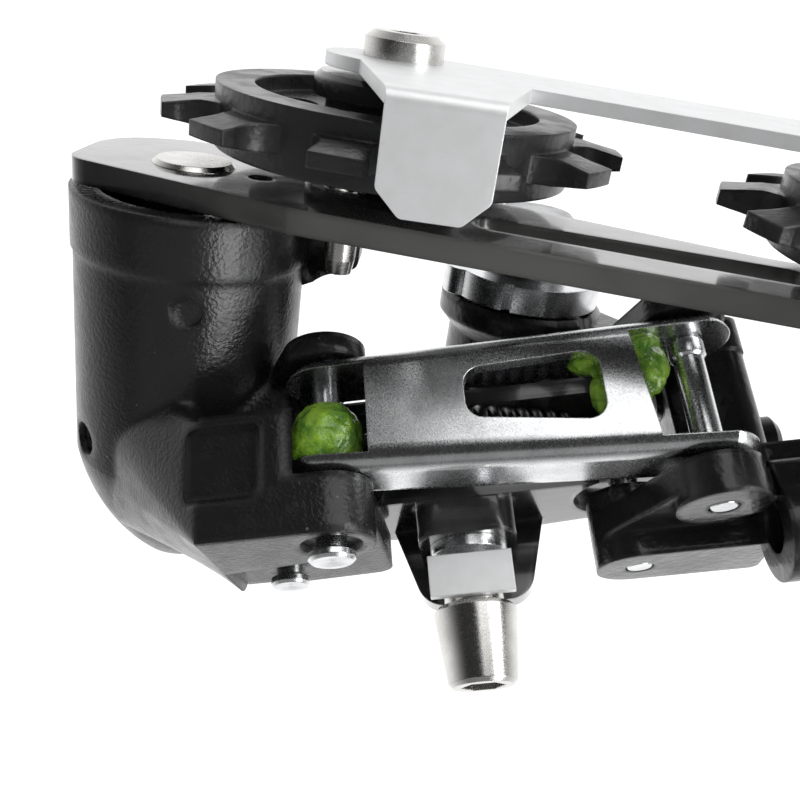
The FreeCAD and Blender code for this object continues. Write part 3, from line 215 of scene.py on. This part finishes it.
def remap(tree, value, start, end, low=0.0, high=1.0):
    made = add_node(tree, "ShaderNodeMapRange", interpolation_type="SMOOTHSTEP")
    set_inputs(made, From_Min=start, From_Max=end, To_Min=low, To_Max=high)
    tree.links.new(value, made.inputs["Value"])
    return made.outputs["Result"]


def maths(tree, operation, first, second):
    made = add_node(tree, "ShaderNodeMath", operation=operation)
    for index, value in enumerate((first, second)):
        if isinstance(value, float):
            made.inputs[index].default_value = value
        else:
            tree.links.new(value, made.inputs[index])
    return made.outputs["Value"]


def blend_colour(tree, factor, first, second):
    """Colour between two plain colours by a factor that changes over the surface."""
    made = add_node(tree, "ShaderNodeMix", data_type="RGBA")
    tree.links.new(factor, made.inputs["Factor"])
    for label, colour in (("A", first), ("B", second)):
        socket = [one for one in made.inputs if one.name == label and one.type == "RGBA"][0]
        socket.default_value = colour
    return [one for one in made.outputs if one.type == "RGBA"][0]


# Shared effects

def cast_skin_group():
    """Orange-peel skin of a powder-coated casting."""
    tree, inside, outside = new_group(
        "cast skin",
        {"Vector": ("NodeSocketVector", None), "Scale": ("NodeSocketFloat", 1500.0)},
        {"Height": "NodeSocketFloat", "Patch": "NodeSocketFloat"},
    )
    vector, scale = inside.outputs["Vector"], inside.outputs["Scale"]
    fine = noise(tree, vector, scale, 2.0, 0.45)
    coarse_scale = maths(tree, "MULTIPLY", scale, 0.16)
    coarse = noise(tree, vector, coarse_scale, 3.0, 0.6)
    height = maths(tree, "ADD", remap(tree, fine, 0.3, 0.7), maths(tree, "MULTIPLY", coarse, 0.6))
    tree.links.new(height, outside.inputs["Height"])
    tree.links.new(remap(tree, coarse, 0.35, 0.7), outside.inputs["Patch"])
    return tree


def dust_and_sheen_group():
    """Small specks that lie on a surface, and a thin uneven grey veil that is dust, and painted sheen
    where a finish raises it.
    """
    tree, inside, outside = new_group(
        "dust",
        {"Vector": ("NodeSocketVector", None), "Scale": ("NodeSocketFloat", 700.0),
         "Amount": ("NodeSocketFloat", 0.10)},
        {"Specks": "NodeSocketFloat", "Haze": "NodeSocketFloat"},
    )
    vector, scale = inside.outputs["Vector"], inside.outputs["Scale"]
    cells = add_node(tree, "ShaderNodeTexVoronoi", feature="F1")
    tree.links.new(vector, cells.inputs["Vector"])
    tree.links.new(scale, cells.inputs["Scale"])
    spread = noise(tree, vector, maths(tree, "MULTIPLY", scale, 0.23), 3.0)
    reach = maths(tree, "MULTIPLY", inside.outputs["Amount"], remap(tree, spread, 0.48, 0.72))
    specks = maths(tree, "LESS_THAN", cells.outputs["Distance"], reach)
    tree.links.new(specks, outside.inputs["Specks"])
    dust_and_sheen_haze = noise(tree, vector, maths(tree, "MULTIPLY", scale, 0.05), 4.0)
    tree.links.new(remap(tree, dust_and_sheen_haze, 0.4, 0.75), outside.inputs["Haze"])
    return tree


def plating_group():
    """Fine grain, clouding and hairline scratches of plated steel."""
    tree, inside, outside = new_group(
        "plating",
        {"Vector": ("NodeSocketVector", None), "Scale": ("NodeSocketFloat", 2600.0)},
        {"Grain": "NodeSocketFloat", "Cloud": "NodeSocketFloat", "Scratch": "NodeSocketFloat"},
    )
    vector, scale = inside.outputs["Vector"], inside.outputs["Scale"]
    grain = noise(tree, vector, scale, 3.0, 0.6)
    cloud = noise(tree, vector, maths(tree, "MULTIPLY", scale, 0.06), 4.0, 0.6)
    stretch = add_node(tree, "ShaderNodeMapping")
    set_inputs(stretch, Scale=(0.05, 1.0, 0.35), Rotation=(0.3, 0.7, 0.2))
    tree.links.new(vector, stretch.inputs["Vector"])
    hair = noise(tree, stretch.outputs["Vector"], maths(tree, "MULTIPLY", scale, 0.8), 2.0)
    tree.links.new(grain, outside.inputs["Grain"])
    tree.links.new(remap(tree, cloud, 0.35, 0.7), outside.inputs["Cloud"])
    tree.links.new(remap(tree, hair, 0.66, 0.74), outside.inputs["Scratch"])
    return tree


CAST_SKIN = cast_skin_group()
DUST_AND_SHEEN = dust_and_sheen_group()
PLATING = plating_group()


def place_group(tree, group, vector, **values):
    made = add_node(tree, "ShaderNodeGroup")
    made.node_tree = group
    tree.links.new(vector, made.inputs["Vector"])
    set_inputs(made, **values)
    return made.outputs


# Finishes

def start_material(name):
    """New material: its tree, its shader and the object coordinates."""
    material = bpy.data.materials.new(name)
    material.use_nodes = True
    tree = material.node_tree
    shader = tree.nodes["Principled BSDF"]
    place = add_node(tree, "ShaderNodeTexCoord").outputs["Object"]
    return material, tree, shader, place


def add_bump(tree, shader, height, strength, depth, edge):
    """Surface relief on top of edges that look rounded to the radius edge."""
    rounded = add_node(tree, "ShaderNodeBevel", samples=EDGE_SAMPLES)
    set_inputs(rounded, Radius=edge)
    bump = add_node(tree, "ShaderNodeBump")
    set_inputs(bump, Strength=strength, Distance=depth)
    tree.links.new(rounded.outputs["Normal"], bump.inputs["Normal"])
    tree.links.new(height, bump.inputs["Height"])
    tree.links.new(bump.outputs["Normal"], shader.inputs["Normal"])


def black_coat(name, colour, skin, relief, rough, edge, coat=0.0, dust_and_sheen_haze=0.025):
    """Black finish with its skin, a little dust, a grey veil that is dust and, where raised, painted
    sheen, and uneven gloss; rough holds the lowest and highest.
    """
    material, tree, shader, place = start_material(name)
    peel = place_group(tree, CAST_SKIN, place, Scale=skin)
    dust = place_group(tree, DUST_AND_SHEEN, place)
    # grey veil: dust, and on the lacquer, where it is raised, painted sheen that lifts the black
    veil = maths(tree, "MULTIPLY", dust["Haze"], dust_and_sheen_haze)
    cover = maths(tree, "MAXIMUM", maths(tree, "MULTIPLY", dust["Specks"], SPECK_COVER), veil)
    tree.links.new(blend_colour(tree, cover, colour, DUST_AND_SHEEN_GREY), shader.inputs["Base Color"])
    tree.links.new(remap(tree, peel["Patch"], 0.0, 1.0, *rough), shader.inputs["Roughness"])
    set_inputs(shader, Coat_Weight=coat, Coat_Roughness=0.08, Specular_IOR_Level=0.5)
    add_bump(tree, shader, peel["Height"], relief, COAT_DEPTH, edge)
    return material


def plated(name, pale, dull, rough, relief, metal=1.0):
    """Bright plating: clouded colour, fine grain and hairline scratches."""
    material, tree, shader, place = start_material(name)
    plating = place_group(tree, PLATING, place, Scale=PLATING_GRAIN)
    clouded = maths(tree, "MULTIPLY", plating["Cloud"], CLOUD_COVER)
    worn = maths(tree, "MAXIMUM", clouded, maths(tree, "MULTIPLY", plating["Scratch"], SCRATCH_COVER))
    tree.links.new(blend_colour(tree, worn, pale, dull), shader.inputs["Base Color"])
    tree.links.new(remap(tree, plating["Grain"], 0.3, 0.7, *rough), shader.inputs["Roughness"])
    set_inputs(shader, Metallic=metal)
    add_bump(tree, shader, plating["Grain"], relief, PLATING_DEPTH, PLATING_EDGE)
    return material


def grease_material():
    """Green grease, wet and creased, that lets a little light in."""
    material, tree, shader, place = start_material("grease")
    folds = noise(tree, place, 420.0, 4.0, 0.65)
    fine = noise(tree, place, 1500.0, 3.0, 0.6)
    # colour follows the same folds as the bump: lighter on the ridges (painted highlight), deeper in the
    # creases (painted shade), on the grease's own uneven green
    colour = blend_colour(tree, remap(tree, folds, 0.35, 0.68), GREASE_GREEN_PAINTED_SHADE, GREASE_GREEN_PAINTED_HIGHLIGHT)
    tree.links.new(colour, shader.inputs["Base Color"])
    tree.links.new(remap(tree, fine, 0.3, 0.7, 0.08, 0.22), shader.inputs["Roughness"])
    set_inputs(shader, Subsurface_Weight=0.55, Subsurface_Scale=0.002, Subsurface_Radius=(0.9, 1.0, 0.2))
    set_inputs(shader, IOR=1.46, Coat_Weight=0.6, Coat_Roughness=0.05)
    creases = maths(tree, "ADD", folds, maths(tree, "MULTIPLY", fine, 0.35))
    add_bump(tree, shader, creases, 0.8, GREASE_DEPTH, GREASE_EDGE)
    return material


CAST = black_coat(
    "satin black casting", BLACK_CAST, skin=2500.0, relief=0.17, rough=(0.22, 0.30), edge=0.0014)
BRACKET_COAT = black_coat(
    "semi-gloss black casting", BLACK_CAST, skin=1100.0, relief=0.22, rough=(0.20, 0.32), edge=0.0008,
    coat=0.2)
# veil raised on the lacquer: a grey lift over the whole black that is partly dust, partly painted sheen
LACQUER = black_coat(
    "gloss black lacquer", BLACK_LACQUER, skin=600.0, relief=0.08, rough=(0.16, 0.26), edge=0.0009,
    coat=1.0, dust_and_sheen_haze=0.28)
MOULDING = black_coat(
    "black moulded plastic", BLACK_MOULDING, skin=1300.0, relief=0.14, rough=(0.26, 0.40), edge=0.0004)
CAP_COAT = black_coat(
    "dark pressed cap", BLACK_CAST, skin=900.0, relief=0.10, rough=(0.14, 0.22), edge=0.0003, coat=0.4)
ADJUSTER_COAT = black_coat(
    "black fluted plastic", BLACK_MOULDING, skin=1400.0, relief=0.2, rough=(0.32, 0.46), edge=0.0003)
SCREW_COAT = black_coat(
    "blackened steel", BLACK_CAST, skin=1400.0, relief=0.10, rough=(0.22, 0.34), edge=0.0002)
ZINC = plated("bright zinc", ZINC_PALE, ZINC_DULL, rough=(0.20, 0.30), relief=0.08)
SATIN_ZINC = plated("satin zinc", ZINC_PALE, ZINC_SATIN, rough=(0.40, 0.50), relief=0.04, metal=0.72)
NICKEL = plated("bright nickel", NICKEL_PALE, NICKEL_DULL, rough=(0.20, 0.30), relief=0.05)
DULL_STEEL = plated("dull plated steel", ZINC_DULL, OILED_STEEL, rough=(0.26, 0.42), relief=0.3)
SPRING_STEEL = plated("oiled spring steel", OILED_STEEL, OILED_DULL, rough=(0.22, 0.38), relief=0.2)
GREASE = grease_material()

FINISHES = {
    CAST: ("plate_body",),
    BRACKET_COAT: ("bracket_body",),
    LACQUER: ("outer_plate", "outer_link"),
    MOULDING: ("guide_pulley", "tension_pulley"),
    CAP_COAT: ("guide_cap_inner", "guide_cap_outer", "tension_cap_inner", "tension_cap_outer"),
    ADJUSTER_COAT: ("cable_adjuster",),
    SATIN_ZINC: ("inner_plate", "cable_plate"),
    ZINC: ("inner_link", "stop_plate", "cable_washer", "bracket_pin_inner",
           "bracket_pin_outer", "cage_pin_inner", "cage_pin_outer"),
    NICKEL: ("cable_bolt", "stop_pin", "cage_axle", "guide_bolt", "tension_bolt"),
    DULL_STEEL: ("mounting_bolt", "bolt_ring", "guide_bush", "tension_bush"),
    SCREW_COAT: ("axle_screw", "limit_screw_high", "limit_screw_low", "angle_screw"),
    SPRING_STEEL: ("return_spring", "cage_spring"),
}


def dress(piece, material):
    piece.data.materials.clear()
    piece.data.materials.append(material)


def dress_nodes():
    for material, names in FINISHES.items():
        for name in names:
            dress(frame["nodes"][name], material)


# Modelling helpers

def deselect():
    if bpy.context.object is not None and bpy.context.object.mode != "OBJECT":
        bpy.ops.object.mode_set(mode="OBJECT")
    bpy.ops.object.select_all(action="DESELECT")


def work_on(piece):
    deselect()
    piece.select_set(True)
    bpy.context.view_layer.objects.active = piece


def apply_modifier(piece, kind, **settings):
    work_on(piece)
    modifier = piece.modifiers.new(kind.lower(), kind)
    for key, value in settings.items():
        setattr(modifier, key, value)
    bpy.ops.object.modifier_apply(modifier=modifier.name)


def settle(piece, frame_of_piece):
    """Puts the piece's place into its mesh, so that the object sits at the origin."""
    work_on(piece)
    piece.matrix_world = frame_of_piece @ piece.matrix_world
    bpy.ops.object.transform_apply(location=True, rotation=True, scale=True)


def spring_coil(node, name):
    """Merged, smooth copy of a spring's solid that takes the solid's place."""
    piece = bpy.data.objects.new(name, frame["nodes"][node].data.copy())
    bpy.context.scene.collection.objects.link(piece)
    work_on(piece)
    bpy.ops.object.mode_set(mode="EDIT")
    bpy.ops.mesh.select_all(action="SELECT")
    bpy.ops.mesh.remove_doubles(threshold=MERGE_DISTANCE)
    bpy.ops.object.mode_set(mode="OBJECT")
    bpy.ops.object.shade_smooth_by_angle(angle=SMOOTH_ANGLE)
    dress(piece, SPRING_STEEL)
    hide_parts(node)
    return piece


# Springs: merged, smooth copies that take the spring solids' places

def bending_springs():
    coil = spring_coil("return_spring", "return_spring_coil")
    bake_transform(coil)
    torsion = spring_coil("cage_spring", "cage_spring_coil")
    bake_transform(torsion)


# Grease packed round the inner link's pins

def grease_lump(name, lumps):
    """Lumps run together into one creased mass."""
    made = []
    for middle, radii in lumps:
        deselect()
        bpy.ops.mesh.primitive_ico_sphere_add(subdivisions=4, radius=1.0, location=Vector(middle) * MM)
        ball = bpy.context.object
        ball.scale = Vector(radii) * MM
        bpy.ops.object.transform_apply(location=True, rotation=True, scale=True)
        made.append(ball)
    deselect()
    for ball in made:
        ball.select_set(True)
    bpy.context.view_layer.objects.active = made[0]
    bpy.ops.object.join()
    mass = bpy.context.object
    mass.name = name
    mass.data.name = name
    apply_modifier(mass, "REMESH", mode="VOXEL", voxel_size=GREASE_VOXEL * MM)
    apply_modifier(mass, "SMOOTH", iterations=6)
    folds = bpy.data.textures.new(name + " folds", "CLOUDS")
    folds.noise_scale = GREASE_FOLD * MM
    folds.noise_depth = 2
    apply_modifier(mass, "DISPLACE", texture=folds, strength=GREASE_CREASE * MM, mid_level=0.5)
    apply_modifier(mass, "SMOOTH", iterations=2)
    settle(mass, LINKS)
    bpy.ops.object.shade_smooth()
    dress(mass, GREASE)
    return mass


def grease():
    at_cage = grease_lump("grease_at_cage_pin", CAGE_PIN_GREASE)
    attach(at_cage, "inner_arm")
    at_bracket = grease_lump("grease_at_bracket_pin", BRACKET_PIN_GREASE)
    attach(at_bracket, "inner_arm")


# Studio: floor, white tent, lights and camera

def add_camera():
    data = bpy.data.cameras.new("camera")
    data.lens = LENS
    data.sensor_width = SENSOR
    data.clip_start = CLIP_NEAR
    data.clip_end = CLIP_FAR
    camera = bpy.data.objects.new("camera", data)
    bpy.context.scene.collection.objects.link(camera)
    camera.matrix_world = placement(CAMERA_RIGHT, CAMERA_UP, -CAMERA_AHEAD, CAMERA_PLACE)
    bpy.context.scene.camera = camera


def add_tent():
    """White surround, open and dark round the camera's place; the background itself is white."""
    world = bpy.data.worlds.new("tent")
    bpy.context.scene.world = world
    world.use_nodes = True
    tree = world.node_tree
    shader = tree.nodes["Background"]
    direction = add_node(tree, "ShaderNodeTexCoord").outputs["Generated"]
    towards = add_node(tree, "ShaderNodeVectorMath", operation="DOT_PRODUCT")
    towards.inputs[1].default_value = -CAMERA_AHEAD
    tree.links.new(direction, towards.inputs[0])
    cover = remap(tree, towards.outputs["Value"], TENT_CLOSED, TENT_OPEN, SURROUND, TENT_DARK)
    seen = add_node(tree, "ShaderNodeLightPath").outputs["Is Camera Ray"]
    tree.links.new(maths(tree, "MAXIMUM", seen, cover), shader.inputs["Strength"])
    shader.inputs["Color"].default_value = WHITE


def add_softbox(name, offset, size, power):
    """Rectangular light that faces the object's middle."""
    data = bpy.data.lights.new(name, "AREA")
    data.shape = "RECTANGLE"
    data.size, data.size_y = size
    data.energy = power
    light = bpy.data.objects.new(name, data)
    bpy.context.scene.collection.objects.link(light)
    right, up, back = offset
    middle = (cad_low + cad_high) / 2
    place = middle + CAMERA_RIGHT * right + CAMERA_UP * up - CAMERA_AHEAD * back
    away = (place - middle).normalized()
    across = CAMERA_UP.cross(away).normalized()
    light.matrix_world = placement(across, away.cross(across), away, place)


def add_floor():
    deselect()
    level = cad_low.z - FLOOR_DROP
    bpy.ops.mesh.primitive_plane_add(size=FLOOR_SIZE, location=(0.0, 0.0, level))
    floor = bpy.context.object
    floor.name = "floor"
    material, tree, shader, place = start_material("pale floor")
    grain = noise(tree, place, FLOOR_GRAIN, 3.0)
    tree.links.new(blend_colour(tree, grain, FLOOR_GREY, FLOOR_PALE), shader.inputs["Base Color"])
    set_inputs(shader, Roughness=FLOOR_ROUGHNESS)
    dress(floor, material)
    floor.visible_glossy = False


dress_nodes()
bending_springs()
grease()
add_camera()
add_tent()
for box_name, (box_offset, box_size, box_power) in SOFTBOXES.items():
    add_softbox(box_name, box_offset, box_size, box_power)
add_floor()
bpy.context.scene.view_settings.view_transform = "Standard"
